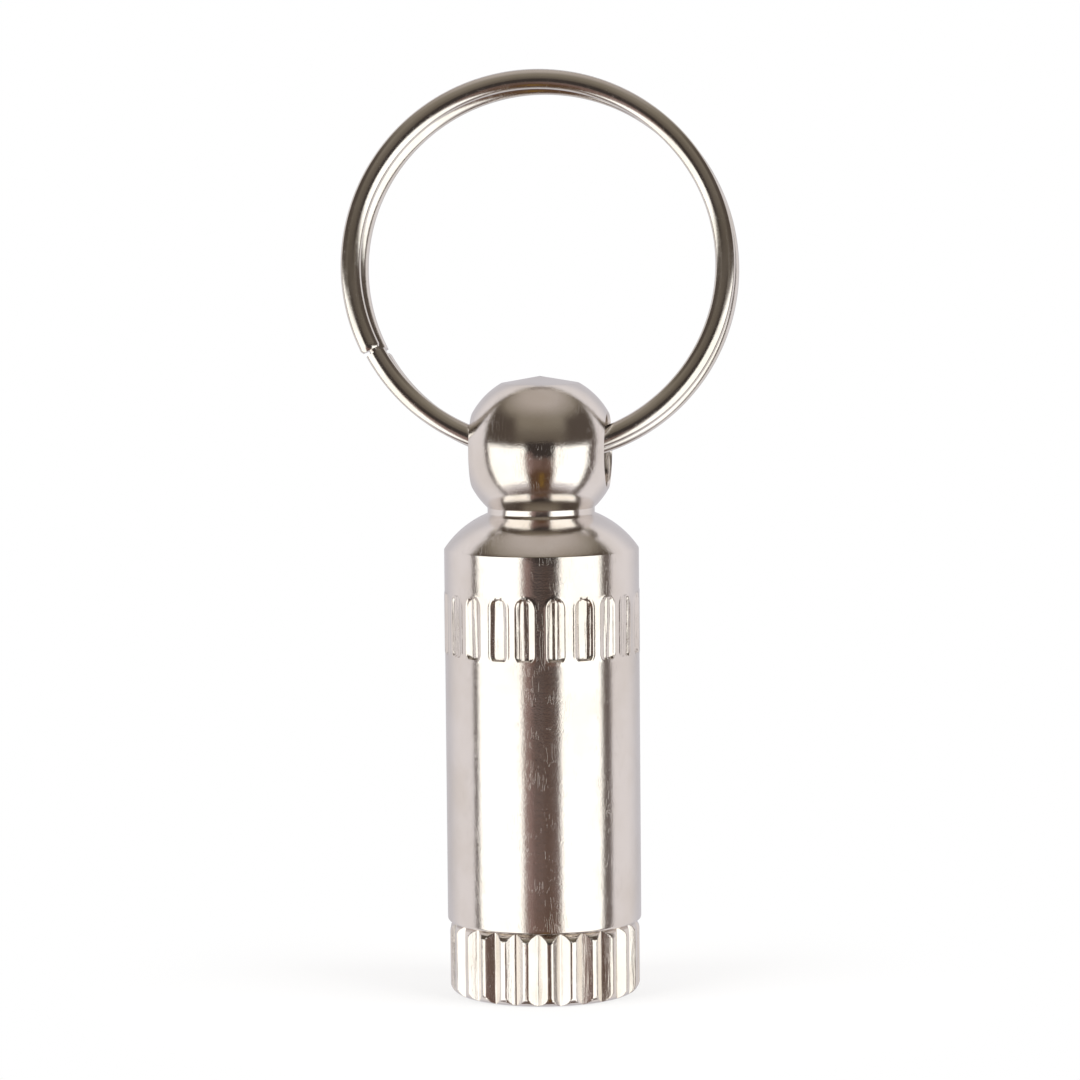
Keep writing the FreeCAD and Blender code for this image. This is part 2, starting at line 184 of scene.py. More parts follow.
class Web:
    """Adds nodes to one tree and joins them. A value is a number, a vector or an output socket."""

    def __init__(self, tree):
        self.tree = tree

    def put(self, socket, value):
        if isinstance(value, bpy.types.NodeSocket):
            self.tree.links.new(value, socket)
        else:
            socket.default_value = value

    def node(self, kind, inputs=None, **settings):
        made = self.tree.nodes.new(kind)
        for name, value in settings.items():
            setattr(made, name, value)
        for key, value in (inputs or {}).items():
            self.put(made.inputs[key], value)
        return made

    def result(self, kind, inputs=None, **settings):
        """The first output of a new node."""
        return self.node(kind, inputs, **settings).outputs[0]

    def math(self, operation, *values):
        return self.result("ShaderNodeMath", dict(enumerate(values)), operation=operation)

    def plus(self, first, second):
        return self.math("ADD", first, second)

    def minus(self, first, second):
        return self.math("SUBTRACT", first, second)

    def times(self, first, second):
        return self.math("MULTIPLY", first, second)

    def over(self, first, second):
        return self.math("DIVIDE", first, second)

    def beyond(self, value, edge):
        """How far value lies above edge, and 0 below it."""
        return self.math("MAXIMUM", 0.0, self.minus(value, edge))

    def near(self, value, middle, reach):
        """1 where value lies within reach of middle."""
        return self.math("LESS_THAN", self.math("ABSOLUTE", self.minus(value, middle)), reach)

    def hypot(self, first, second):
        return self.math("SQRT", self.plus(self.times(first, first), self.times(second, second)))

    def vector(self, operation, *values):
        made = self.node("ShaderNodeVectorMath", dict(enumerate(values)), operation=operation)
        return made.outputs["Value" if operation in ("DOT_PRODUCT", "LENGTH") else "Vector"]

    def point(self, x, y, z=0.0):
        return self.result("ShaderNodeCombineXYZ", {"X": x, "Y": y, "Z": z})

    def noise(self, place, scale, detail=2.0, roughness=0.5):
        return self.result("ShaderNodeTexNoise", {"Vector": place, "Scale": scale, "Detail": detail,
                                                  "Roughness": roughness})

    def stretched(self, place, scale, turn=(0.0, 0.0, 0.0)):
        return self.result("ShaderNodeMapping", {"Vector": place, "Rotation": turn, "Scale": scale})

    def ramp(self, value, low, high, smooth=True):
        """0 below low, 1 above high."""
        kind = "SMOOTHSTEP" if smooth else "LINEAR"
        return self.result("ShaderNodeMapRange", {"Value": value, "From Min": low, "From Max": high},
                           interpolation_type=kind)

    def between(self, value, low, high, soft):
        """1 between low and high, fading over soft at each side."""
        rise = self.ramp(value, low - soft / 2.0, low + soft / 2.0)
        fall = self.ramp(value, high - soft / 2.0, high + soft / 2.0)
        return self.times(rise, self.minus(1.0, fall))

    def mix(self, share, first, second):
        made = self.node("ShaderNodeMix", data_type="RGBA")
        for key, value in ((0, share), (6, first), (7, second)):
            if isinstance(value, tuple) and len(value) == 3:
                value = (*value, 1.0)
            self.put(made.inputs[key], value)
        return made.outputs[2]


class ShapeTree(Web):
    """A Geometry Nodes tree whose inputs have names, and which ends in realised, finished geometry."""

    def __init__(self, name, floats, others=()):
        super().__init__(bpy.data.node_groups.new(name, "GeometryNodeTree"))
        face = self.tree.interface
        face.new_socket(name="Geometry", in_out="OUTPUT", socket_type="NodeSocketGeometry")
        named = [("Geometry", "Geometry"), *((label, "Float") for label in floats), *others,
                 ("Material", "Material")]
        for label, kind in named:
            face.new_socket(name=label, in_out="INPUT", socket_type="NodeSocket" + kind)
        self.source = self.tree.nodes.new("NodeGroupInput").outputs

    def finish(self, geometry):
        realised = self.result("GeometryNodeRealizeInstances", {"Geometry": geometry})
        finished = self.result("GeometryNodeSetMaterial",
                               {"Geometry": realised, "Material": self.source["Material"]})
        end = self.tree.nodes.new("NodeGroupOutput")
        self.tree.links.new(finished, end.inputs[0])
        return self.tree

    def stored(self, geometry, name, value):
        """Keeps a value on each point under a name."""
        return self.result("GeometryNodeStoreNamedAttribute",
                           {"Geometry": geometry, "Name": name, "Value": value},
                           data_type="FLOAT", domain="POINT")

    def scale_across(self, geometry, share, selection):
        """Moves points to share times their distance from the Z axis."""
        place = self.result("GeometryNodeInputPosition")
        moved = self.vector("MULTIPLY", place, self.point(share, share, 1.0))
        return self.result("GeometryNodeSetPosition",
                           {"Geometry": geometry, "Selection": selection, "Position": moved})

    def cylinder_place(self):
        """Distance from the Z axis, angle round it and height of each point."""
        place = self.result("GeometryNodeInputPosition")
        parts = self.node("ShaderNodeSeparateXYZ", {"Vector": place}).outputs
        return self.hypot(parts[0], parts[1]), self.math("ARCTAN2", parts[1], parts[0]), parts[2]


def own_properties(group):
    """The names of a property group's own properties."""
    return [prop.identifier for prop in group.bl_rna.properties
            if prop.identifier not in ("rna_type", "name")]


def titled(group):
    """A property group's values, keyed as a tree names its inputs."""
    return {name.replace("_", " ").title(): getattr(group, name) for name in own_properties(group)}


def shaped(obj, tree, values, material):
    """Runs a Geometry Nodes tree on obj and keeps its result as a plain mesh."""
    modifier = obj.modifiers.new(tree.name, "NODES")
    modifier.node_group = tree
    for item in tree.interface.items_tree:
        if item.in_out != "INPUT" or item.socket_type == "NodeSocketGeometry":
            continue
        value = material if item.name == "Material" else values[item.name]
        modifier[item.identifier] = value
    settled(obj)


def settled(obj):
    """Replaces obj's mesh with what its modifiers make, and removes them."""
    bpy.context.view_layer.update()
    graph = bpy.context.evaluated_depsgraph_get()
    made = bpy.data.meshes.new_from_object(obj.evaluated_get(graph))
    obj.modifiers.clear()
    obj.data = made


# ---------------------------------------------------------------- mesh helpers

def new_piece(name, points, faces, material):
    mesh = bpy.data.meshes.new(name)
    mesh.from_pydata(points, [], faces)
    mesh.update()
    mesh.materials.append(material)
    piece = bpy.data.objects.new(name, mesh)
    bpy.context.scene.collection.objects.link(piece)
    return piece


def polish(piece, sharp_degrees):
    """Smooth shading that breaks at edges sharper than the given angle."""
    piece.data.shade_smooth()
    piece.data.set_sharp_from_angle(angle=math.radians(sharp_degrees))


def rounded_outline(corners, arc_step=math.radians(12.0)):
    """Points of an outline from corners (radius, height, rounding, spacing of the run that follows)."""
    ends = []
    for index, (radius, height, rounding, spacing) in enumerate(corners):
        here = Vector((radius, height))
        if rounding == 0.0 or index in (0, len(corners) - 1):
            ends.append(([here], spacing))
            continue
        back = (Vector(corners[index - 1][:2]) - here).normalized()
        ahead = (Vector(corners[index + 1][:2]) - here).normalized()
        opening = back.angle(ahead)
        reach = rounding / math.tan(opening / 2.0)
        centre = here + (back + ahead).normalized() * (rounding / math.sin(opening / 2.0))
        first = here + back * reach - centre
        turn = first.angle_signed(here + ahead * reach - centre)
        steps = max(2, math.ceil(abs(turn) / arc_step))
        arc = []
        for step in range(steps + 1):
            share = -turn * step / steps
            spin = Matrix.Rotation(share, 2)
            arc.append(centre + spin @ first)
        ends.append((arc, spacing))
    points = []
    for index, (arc, spacing) in enumerate(ends):
        points.extend(arc)
        if index + 1 < len(ends):
            run = ends[index + 1][0][0] - arc[-1]
            pieces = max(1, math.ceil(run.length / spacing))
            points.extend(arc[-1] + run * (step / pieces) for step in range(1, pieces))
    return points


def turned(name, outline, columns, material, closed=False, finer=None):
    """Revolves an outline round Z. finer gives how many times more columns a point of it has."""
    points, rows = [], []
    for place in outline:
        start = len(points)
        if place.x < 1e-9:
            points.append((0.0, 0.0, place.y))
            rows.append([start])
            continue
        count = columns * (finer(place) if finer else 1)
        for column in range(count):
            turn = math.tau * column / count
            points.append((place.x * math.cos(turn), place.x * math.sin(turn), place.y))
        rows.append(list(range(start, start + count)))
    if closed:
        rows.append(rows[0])
    faces = []
    for low, high in zip(rows, rows[1:]):
        poles = 1 in (len(low), len(high))
        cells = max(len(low), len(high)) if poles else min(len(low), len(high))
        for cell in range(cells):
            faces.append(row_part(low, cell, cells) + row_part(high, cell, cells)[::-1])
    return new_piece(name, points, faces, material)


def row_part(row, cell, cells):
    """The points of a row along one cell's side."""
    if len(row) == 1:
        return list(row)
    share = len(row) // cells
    return [row[(cell * share + step) % len(row)] for step in range(share + 1)]


# ---------------------------------------------------------------- rules of the repeated shapes

THREAD_FOOT, THREAD_TIP = 0.42, 0.10    # half widths of the ridge's foot and tip, as shares of the pitch


def thread_tree():
    """A helical ridge on a turned cylinder, fading at both ends."""
    tree = ShapeTree("Screw thread", ("Pitch", "Core", "Crest", "Low", "High", "Run Out", "Reach"))
    get = tree.source
    flat, around, height = tree.cylinder_place()
    turns = tree.minus(tree.over(height, get["Pitch"]), tree.over(around, math.tau))
    from_middle = tree.math("ABSOLUTE", tree.minus(tree.math("FRACT", turns), 0.5))
    ridge = tree.ramp(from_middle, THREAD_FOOT, THREAD_TIP, smooth=False)
    fade = tree.times(tree.ramp(height, get["Low"], tree.plus(get["Low"], get["Run Out"])),
                      tree.ramp(height, get["High"], tree.minus(get["High"], get["Run Out"])))
    lift = tree.times(tree.minus(get["Crest"], get["Core"]), tree.times(ridge, fade))
    share = tree.over(tree.plus(flat, lift), flat)
    inside = tree.times(tree.math("GREATER_THAN", height, get["Low"]),
                        tree.math("LESS_THAN", height, get["High"]))
    chosen = tree.times(tree.near(flat, get["Core"], get["Reach"]), inside)
    return tree.finish(tree.scale_across(get["Geometry"], share, chosen))


KNURL_WEAR_SCALE = 900.0


def knurl_tree():
    """V cuts along a turned head, which the chamfers bring to a point."""
    tree = ShapeTree("Knurl cuts", ("Crest", "Width", "Depth", "Height", "Core", "First", "Wear"),
                     [("Count", "Int")])
    get = tree.source
    flat, around, height = tree.cylinder_place()
    around = tree.minus(around, get["First"])
    pitch = tree.over(math.tau, get["Count"])
    off = tree.minus(around, tree.times(pitch, tree.math("ROUND", tree.over(around, pitch))))
    across = tree.math("ABSOLUTE", tree.times(off, get["Crest"]))
    slope = tree.over(get["Depth"], tree.times(get["Width"], 0.5))
    worn = tree.noise(tree.result("GeometryNodeInputPosition"), KNURL_WEAR_SCALE)
    wear = tree.times(tree.minus(worn, 0.5), get["Wear"])
    floor = tree.plus(tree.minus(get["Crest"], get["Depth"]), tree.plus(wear, tree.times(across, slope)))
    share = tree.over(tree.math("MINIMUM", flat, floor), flat)
    chosen = tree.times(tree.math("LESS_THAN", height, get["Height"]),
                        tree.math("GREATER_THAN", flat, get["Core"]))
    in_cut = tree.times(chosen, tree.math("LESS_THAN", floor, flat))
    marked = tree.stored(get["Geometry"], "pressed", in_cut)
    return tree.finish(tree.scale_across(marked, share, chosen))


# How far one flute may differ from the next: shares of the pitch, of the width and of the depth.
STRAY_SHARE, WIDTH_SHARE, DEPTH_SHARE = 0.04, 0.035, 0.35
# Distances outside a flute's edge in mm, negative inside it.
PRESS_START, PRESS_FULL = 0.02, -0.09
BURR_PLACE, BURR_WIDTH = 0.03, 0.06
FOOT_CORNER = 0.6           # rounding of the foot's corners, as a share of half the width
BOWL_RIM = 0.1              # depth left at a flute's sides, as a share of the depth
RIDGES_PER_MM = 5.0
RIDGE_WANDER = 2.2
WANDER_ACROSS, WANDER_ALONG = 2.0 / MM, 0.16 / MM
FLUTE_STEP = 7.7            # keeps the tool lines of neighbouring flutes apart


def flute_tree():
    """Hollowed flutes with an arched top, a squarer foot, a raised burr and tool lines inside."""
    tree = ShapeTree("Grip flutes", ("Radius", "Low", "High", "Width", "Depth", "Burr", "Ripple", "First"),
                     [("Count", "Int"), ("Seed", "Int")])
    get = tree.source
    flat, around, height = tree.cylinder_place()
    pitch = tree.over(math.tau, get["Count"])
    steps = tree.over(tree.minus(around, get["First"]), pitch)
    nearest = tree.math("ROUND", steps)
    which = tree.math("FLOORED_MODULO", nearest, get["Count"])

    def uneven(offset, most):
        """A steady random number for each flute, from -most to most."""
        seed = tree.plus(tree.times(get["Seed"], 17.0), which)
        found = tree.result("ShaderNodeTexWhiteNoise", {"W": tree.plus(seed, offset)},
                            noise_dimensions="1D")
        return tree.times(tree.minus(tree.times(found, 2.0), 1.0), most)

    off = tree.minus(tree.minus(steps, nearest), uneven(0.3, STRAY_SHARE))
    side = tree.times(tree.times(off, pitch), get["Radius"])
    across = tree.math("ABSOLUTE", side)
    half = tree.times(get["Width"], tree.plus(0.5, uneven(0.6, WIDTH_SHARE)))
    to_arch = tree.minus(tree.hypot(across, tree.beyond(height, tree.minus(get["High"], half))), half)
    corner = tree.times(half, FOOT_CORNER)
    to_foot = tree.minus(tree.hypot(tree.beyond(tree.plus(get["Low"], corner), height),
                                    tree.beyond(across, tree.minus(half, corner))), corner)
    to_edge = tree.times(tree.math("MAXIMUM", to_arch, to_foot), 1.0 / MM)
    pressed = tree.ramp(to_edge, PRESS_START, PRESS_FULL)
    from_burr = tree.over(tree.minus(to_edge, BURR_PLACE), BURR_WIDTH)
    ridge = tree.math("EXPONENT", tree.times(-1.0, tree.times(from_burr, from_burr)))
    # sharp ridges along the flute, wandering and different in each one
    wander = tree.noise(tree.point(tree.times(side, WANDER_ACROSS), tree.times(height, WANDER_ALONG),
                                   tree.times(which, FLUTE_STEP)), 1.0)
    ridges = tree.math("PINGPONG", tree.plus(tree.times(side, RIDGES_PER_MM / MM),
                                             tree.times(wander, RIDGE_WANDER)), 1.0)
    ripple = tree.times(tree.times(pressed, get["Ripple"]), tree.minus(ridges, 0.5))
    off_middle = tree.over(across, half)
    bowl = tree.minus(1.0 + BOWL_RIM, tree.times(off_middle, off_middle))
    depth = tree.times(get["Depth"], tree.plus(1.0, uneven(0.9, DEPTH_SHARE)))
    sunk = tree.times(tree.times(pressed, bowl), depth)
    change = tree.plus(tree.minus(tree.times(ridge, get["Burr"]), sunk), ripple)
    share = tree.over(tree.plus(flat, change), flat)
    on_wall = tree.near(flat, get["Radius"], 0.05 * MM)
    marked = tree.stored(get["Geometry"], "pressed", tree.times(pressed, on_wall))
    return tree.finish(tree.scale_across(marked, share, on_wall))


WIRE_STATIONS = 1300
CROWDING = 1.5              # how strongly the stations crowd together towards the crank
WIRE_SIDES = 36
SNUB, SNUB_REACH = 0.14, 0.1 * MM       # how much a free end thins, and over what length


def ring_tree():
    """Two turns of oval wire. The front turn's free end lies beside the crank to the back turn."""
    tree = ShapeTree("Split ring", ("Radius", "Wire Width", "Wire Thickness", "Turn Gap", "Turn Shift",
                                    "Turn Drop", "Twist", "Spring", "End Angle", "Crank", "End Gap"),
                     [("Tilt", "Rotation"), ("Centre", "Vector")])
    get = tree.source
    line = tree.result("GeometryNodeMeshLine", {"Count": WIRE_STATIONS})
    spine = tree.result("GeometryNodeMeshToCurve", {"Mesh": line})
    # travel is the angle run through from the front free end, and the crank lies at one full turn
    even = tree.over(tree.result("GeometryNodeInputIndex"), WIRE_STATIONS - 1.0)
    from_crank = tree.minus(tree.times(even, 2.0), 1.0)
    crowded = tree.times(tree.math("SIGN", from_crank),
                         tree.math("POWER", tree.math("ABSOLUTE", from_crank), CROWDING))
    half_travel = tree.minus(math.tau, tree.plus(get["Crank"], get["End Gap"]))
    travel = tree.plus(math.tau, tree.times(half_travel, crowded))
    spine = tree.stored(spine, "travel", travel)
    around = tree.minus(get["End Angle"], travel)
    left_to_crank = tree.beyond(1.0, tree.over(travel, math.tau))
    reach = tree.plus(get["Radius"], tree.times(get["Spring"], tree.math("POWER", left_to_crank, 2.0)))
    path = tree.point(tree.times(reach, tree.math("COSINE", around)),
                      tree.times(reach, tree.math("SINE", around)))
    wire = tree.result("GeometryNodeSetPosition", {"Geometry": spine, "Position": path})
    wire = tree.result("GeometryNodeSetCurveNormal", {"Curve": wire}, mode="Z_UP")
    behind = tree.ramp(travel, math.tau, tree.plus(math.tau, get["Crank"]))
    tilt = tree.times(tree.times(get["Twist"], behind), tree.times(tree.math("COSINE", around), -1.0))
    wire = tree.result("GeometryNodeSetCurveTilt", {"Curve": wire, "Tilt": tilt})
    to_end = tree.times(get["Radius"], tree.minus(
        half_travel, tree.math("ABSOLUTE", tree.minus(travel, math.tau))))
    snub = tree.plus(1.0 - SNUB, tree.times(SNUB, tree.ramp(to_end, 0.0, SNUB_REACH)))
    circle = tree.result("GeometryNodeCurvePrimitiveCircle", {"Resolution": WIRE_SIDES, "Radius": 0.5})
    oval_size = tree.point(get["Wire Width"], get["Wire Thickness"], 1.0)
    oval = tree.result("GeometryNodeTransform", {"Geometry": circle, "Scale": oval_size})
    body = tree.result("GeometryNodeCurveToMesh", {"Curve": wire, "Profile Curve": oval, "Scale": snub,
                                                   "Fill Caps": True})
    # the crank shears the wire from the front level to the back one
    reached = tree.result("GeometryNodeInputNamedAttribute", {"Name": "travel"}, data_type="FLOAT")
    crossed = tree.ramp(reached, tree.minus(math.tau, get["Crank"]), tree.plus(math.tau, get["Crank"]),
                        smooth=False)
    level = tree.times(tree.times(tree.plus(get["Wire Thickness"], get["Turn Gap"]), 0.5),
                       tree.math("COSINE", tree.times(crossed, math.pi)))
    shear = tree.point(tree.times(crossed, get["Turn Shift"]),
                       tree.times(crossed, tree.times(get["Turn Drop"], -1.0)), level)
    body = tree.result("GeometryNodeSetPosition", {"Geometry": body, "Offset": shear})
    body = tree.result("GeometryNodeRemoveAttribute", {"Geometry": body, "Name": "travel"})
    return tree.finish(tree.result("GeometryNodeTransform", {
        "Geometry": body, "Rotation": get["Tilt"], "Translation": get["Centre"]}))


# ---------------------------------------------------------------- finishes

TURNING_LINES = (300.0, 300.0, 12000.0)
WIRE_LINES = (2500.0, 2500.0, 2500.0)
STREAK_LINES = (9000.0, 9000.0, 700.0)
FIBRE_LINES = (9000.0, 9000.0, 1800.0)
SCRATCH_LINES = (5200.0, 420.0, 900.0)
PLATE = {"roughness": 0.11, "pits": 0.0038, "waves": 0.0030}
WIRE = {"roughness": 0.14, "pits": 0.0012, "waves": 0.0012}
# heights of the plate's other marks, as shares of the pits
LINE_SHARE, NICK_SHARE, SCRATCH_SHARE = 0.25, 0.6, 0.3
STREAK_HEIGHT = 0.010       # in mm, inside the pressed and cut places
PRESSED_ROUGHNESS = 0.09


def new_material(name):
    """A new material, the web of its nodes, its shader, and each point's place on the object."""
    made = bpy.data.materials.new(name)
    made.use_nodes = True
    web = Web(made.node_tree)
    place = web.node("ShaderNodeTexCoord").outputs["Object"]
    return made, web, made.node_tree.nodes["Principled BSDF"], place


def raise_marks(web, shader, height, strength, distance):
    """Bumps the surface by a height pattern."""
    bump = web.result("ShaderNodeBump", {"Height": height, "Strength": strength, "Distance": distance})
    web.put(shader.inputs["Normal"], bump)


def metal(name, tone, shade, grain, roughness, pits, waves):
    """Bright plate. grain stretches the fine lines along an axis; pits and waves are heights in mm."""
    made, web, shader, place = new_material(name)
    cloud = web.noise(place, 350.0, 5.0)
    web.put(shader.inputs["Base Color"], web.mix(web.ramp(cloud, 0.35, 0.7), tuple(tone), tuple(shade)))
    shader.inputs["Metallic"].default_value = 1.0
    lines = web.noise(web.stretched(place, grain), 1.0, 3.0)
    fine = web.noise(place, 10500.0, 3.0, 0.65)
    rough = web.plus(roughness, web.times(web.ramp(lines, 0.45, 0.8), roughness * 0.5))
    rough = web.plus(rough, web.times(web.ramp(fine, 0.58, 0.75), 0.12))
    pressed = web.node("ShaderNodeAttribute", attribute_name="pressed").outputs["Fac"]
    web.put(shader.inputs["Roughness"], web.plus(rough, web.times(pressed, PRESSED_ROUGHNESS)))
    swell = web.noise(place, 1700.0)
    cells = web.node("ShaderNodeTexVoronoi", {"Vector": place, "Scale": 1500.0, "Randomness": 1.0})
    nick = web.ramp(cells.outputs["Distance"], 0.0, 0.13)
    height = web.plus(web.times(swell, waves), web.times(fine, pits))
    height = web.plus(height, web.times(lines, pits * LINE_SHARE))
    height = web.plus(height, web.times(nick, pits * NICK_SHARE))
    height = web.plus(height, scratches(web, place, pits * SCRATCH_SHARE))
    streaks = web.noise(web.stretched(place, STREAK_LINES), 1.0)
    height = web.plus(height, web.times(pressed, web.times(streaks, STREAK_HEIGHT)))
    raise_marks(web, shader, height, 1.0, MM)
    return made


def scratches(web, place, depth):
    """Fine hairlines that run three ways and break off."""
    found = 0.0
    for turn in (0.35, -0.6, 1.25):
        laid = web.stretched(place, SCRATCH_LINES, (turn, turn * 1.7, turn * 0.6))
        strand = web.noise(laid, 1.0, 1.0)
        thin = web.minus(1.0, web.ramp(web.math("ABSOLUTE", web.minus(strand, 0.5)), 0.0, 0.012))
        gate = web.noise(place, 800.0 + 130.0 * turn)
        cut = web.times(thin, web.ramp(gate, 0.56, 0.62))
        found = web.plus(found, web.times(cut, -depth))
    return found


def rubber(name, tone):
    """Dark moulded rubber with a little pale dust."""
    made, web, shader, place = new_material(name)
    dust = web.noise(place, 4000.0, 6.0)
    pale = tuple(min(1.0, part * 2.4) for part in tone)
    web.put(shader.inputs["Base Color"], web.mix(web.ramp(dust, 0.45, 0.75), tuple(tone), pale))
    web.put(shader.inputs["Roughness"], web.plus(0.42, web.times(dust, 0.25)))
    raise_marks(web, shader, dust, 0.6, 0.01 * MM)
    return made


def paper(name, tone):
    """Matt paper with fibres that run along the roll."""
    made, web, shader, place = new_material(name)
    fibre = web.noise(web.stretched(place, FIBRE_LINES), 1.0, 6.0, 0.7)
    cloud = web.noise(place, 500.0, 4.0)
    fleck = web.plus(web.times(fibre, 0.6), web.times(cloud, 0.4))
    dull = tuple(part * 0.82 for part in tone)
    web.put(shader.inputs["Base Color"], web.mix(web.ramp(fleck, 0.42, 0.62), dull, tuple(tone)))
    shader.inputs["Roughness"].default_value = 0.9
    shader.inputs["Specular IOR Level"].default_value = 0.25
    raise_marks(web, shader, fibre, 0.7, 0.015 * MM)
    return made


def dress(piece, body, node):
    """Makes a finished piece stand for its CAD node and ride with the node's body."""
    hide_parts(node)
    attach(piece, body)


# ---------------------------------------------------------------- operators

THREAD_REACH = 0.02 * MM    # how near the plain core a point must lie to become thread
TAP_OVERRUN = 0.6 * MM      # how far the barrel's thread runs past the stem's end
TAP_FADE = 0.2              # the barrel thread's run-out, as a share of the stem's
FINE_MARGIN = 0.12 * MM     # width of the finest columns' border beyond the flutes
BAND_MARGIN = 0.3 * MM      # width of the close rows' border beyond the flutes
CLOSE_ROWS = 0.075 * MM     # spacing of the rows along the flutes and the stem's thread
SEAT_CONE = 0.25 * MM       # height of the cone between the seal's seat and the bore
DOME_STEPS = 16
BALL_STEPS = 44


class CAPSULE_OT_turn_barrel(bpy.types.Operator):
    """Turn the barrel with its ball head, press its flutes, cut its thread and drill its cross hole"""
    bl_idname = "capsule.turn_barrel"
    bl_label = "Turn the barrel"

    def execute(self, context):
        sizes = context.scene.capsule_barrel
        flutes = context.scene.capsule_flutes
        screw = context.scene.capsule_thread
        finish = context.scene.capsule_finish
        nickel = metal("barrel nickel", finish.nickel, finish.nickel_shade, TURNING_LINES, **PLATE)

        def finer(place):
            """More columns round the flutes, in two steps."""
            if abs(place.x - sizes.wall_radius) > 0.01 * MM:
                return 1
            beyond = max(flutes.low - place.y, place.y - flutes.high)
            return 4 if beyond < FINE_MARGIN else 2 if beyond < 2.0 * FINE_MARGIN else 1

        barrel = turned("barrel_shell", barrel_outline(sizes, flutes, screw), flutes.count * 10,
                        nickel, finer=finer)
        shaped(barrel, flute_tree(), {**titled(flutes), "Radius": sizes.wall_radius}, nickel)
        shaped(barrel, thread_tree(), {
            "Pitch": screw.pitch, "Core": sizes.bore_radius, "Crest": screw.crest_radius + screw.clearance,
            "Low": BARREL_LOW.z + sizes.seat_depth, "High": PLUG_HIGH.z + TAP_OVERRUN,
            "Run Out": TAP_FADE * screw.run_out, "Reach": THREAD_REACH}, nickel)
        drill(barrel, hole_cutter(sizes))
        polish(barrel, 38.0)
        dress(barrel, "capsule", "barrel")
        return {"FINISHED"}


def barrel_outline(sizes, flutes, screw):
    """From the bore's end, down the bore, round the open mouth, up the outside and over the ball."""
    low = BARREL_LOW.z
    seat_top = low + sizes.seat_depth
    ball = JOINTS["ring_swing"]["pos_m"][2]
    corners = [
        (0.0, sizes.bore_top + sizes.drill_point, 0.0, 0.8 * MM),
        (sizes.bore_radius, sizes.bore_top, 0.05 * MM, 0.8 * MM),
        (sizes.bore_radius, PLUG_HIGH.z + screw.pitch, 0.0, 0.1 * MM),
        (sizes.bore_radius, seat_top + SEAT_CONE, 0.0, 0.1 * MM),
        (sizes.seat_radius, seat_top, 0.03 * MM, 0.4 * MM),
        (sizes.seat_radius, low, 0.05 * MM, 0.4 * MM),
        (sizes.wall_radius, low, sizes.mouth_round, 0.7 * MM),
        (sizes.wall_radius, flutes.low - BAND_MARGIN, 0.0, CLOSE_ROWS),
        (sizes.wall_radius, flutes.high + BAND_MARGIN, 0.0, 0.5 * MM),
        (sizes.wall_radius, sizes.shoulder_low, 0.1 * MM, 0.3 * MM),
    ]
    foot = Vector((sizes.wall_radius, sizes.shoulder_low))
    top = Vector((sizes.neck_radius, sizes.shoulder_top))
    outward = Vector((top.y - foot.y, foot.x - top.x)).normalized()
    for step in range(1, DOME_STEPS):
        share = step / DOME_STEPS
        place = foot.lerp(top, share) + outward * (4.0 * sizes.shoulder_bulge * share * (1.0 - share))
        corners.append((place.x, place.y, 0.0, 1.0 * MM))
    corners.append((top.x, top.y, 0.04 * MM, 0.1 * MM))
    foot_turn = math.asin(sizes.neck_radius / sizes.ball_radius)
    cap_turn = math.pi - math.asin(sizes.cap_radius / sizes.ball_radius)
    for step in range(BALL_STEPS + 1):
        turn = foot_turn + (cap_turn - foot_turn) * step / BALL_STEPS
        rounding = {0: 0.03 * MM, BALL_STEPS: 0.05 * MM}.get(step, 0.0)
        corners.append((sizes.ball_radius * math.sin(turn),
                        ball - sizes.ball_radius * math.cos(turn), rounding, 0.3 * MM))
    corners.append((0.0, BARREL_HIGH.z, 0.0, 1.0 * MM))
    return rounded_outline(corners)


def hole_cutter(sizes):
    """A cutter along X with flared ends, which leave rounded mouths in the ball."""
    mouth = math.sqrt(sizes.ball_radius ** 2 - sizes.hole_radius ** 2)
    flare = sizes.hole_flare
    reach = 1.3 * sizes.ball_radius
    outline = [Vector((0.0, -reach))]
    for side in (-1.0, 1.0):
        turns = [math.radians(15.0 * step) for step in range(7)]
        lip = [Vector((sizes.hole_radius + flare * (1.0 - math.cos(turn)),
                       side * (mouth - flare + flare * math.sin(turn)))) for turn in turns]
        lip.append(Vector((sizes.hole_radius + 4.0 * flare, side * (mouth + 1.6 * flare))))
        lip.append(Vector((sizes.hole_radius + 4.0 * flare, side * reach)))
        outline.extend(reversed(lip) if side < 0.0 else lip)
    outline.append(Vector((0.0, reach)))
    cutter = turned("hole_cutter", outline, 96, bpy.data.materials["barrel nickel"])
    along_x = Matrix.Rotation(math.radians(90.0), 4, "Y")
    height = Matrix.Translation((0.0, 0.0, JOINTS["ring_swing"]["pos_m"][2]))
    cutter.data.transform(height @ along_x)
    return cutter


def drill(piece, cutter):
    """Cuts cutter out of piece and removes the cutter."""
    face_out(piece)
    face_out(cutter)
    cut = piece.modifiers.new("drill", "BOOLEAN")
    cut.operation = "DIFFERENCE"
    cut.solver = "EXACT"
    cut.object = cutter
    settled(piece)
    bpy.data.objects.remove(cutter)


def face_out(piece):
    """Turns a closed mesh's faces outwards."""
    work = bmesh.new()
    work.from_mesh(piece.data)
    bmesh.ops.recalc_face_normals(work, faces=work.faces)
    work.to_mesh(piece.data)
    work.free()


STEM_LEAD = 0.4 * MM        # height of the chamfer at the stem's end


def bowed(first, last, share=0.16, steps=6):
    """Corners between two, on a curve that stands outside the straight run by a share of its length."""
    first, last = Vector(first), Vector(last)
    run = last - first
    outward = Vector((run.y, -run.x))
    places = []
    for step in range(1, steps):
        along = step / steps
        place = first + run * along + outward * (4.0 * share * along * (1.0 - along))
        places.append((place.x, place.y, 0.0, 0.04 * MM))
    return places


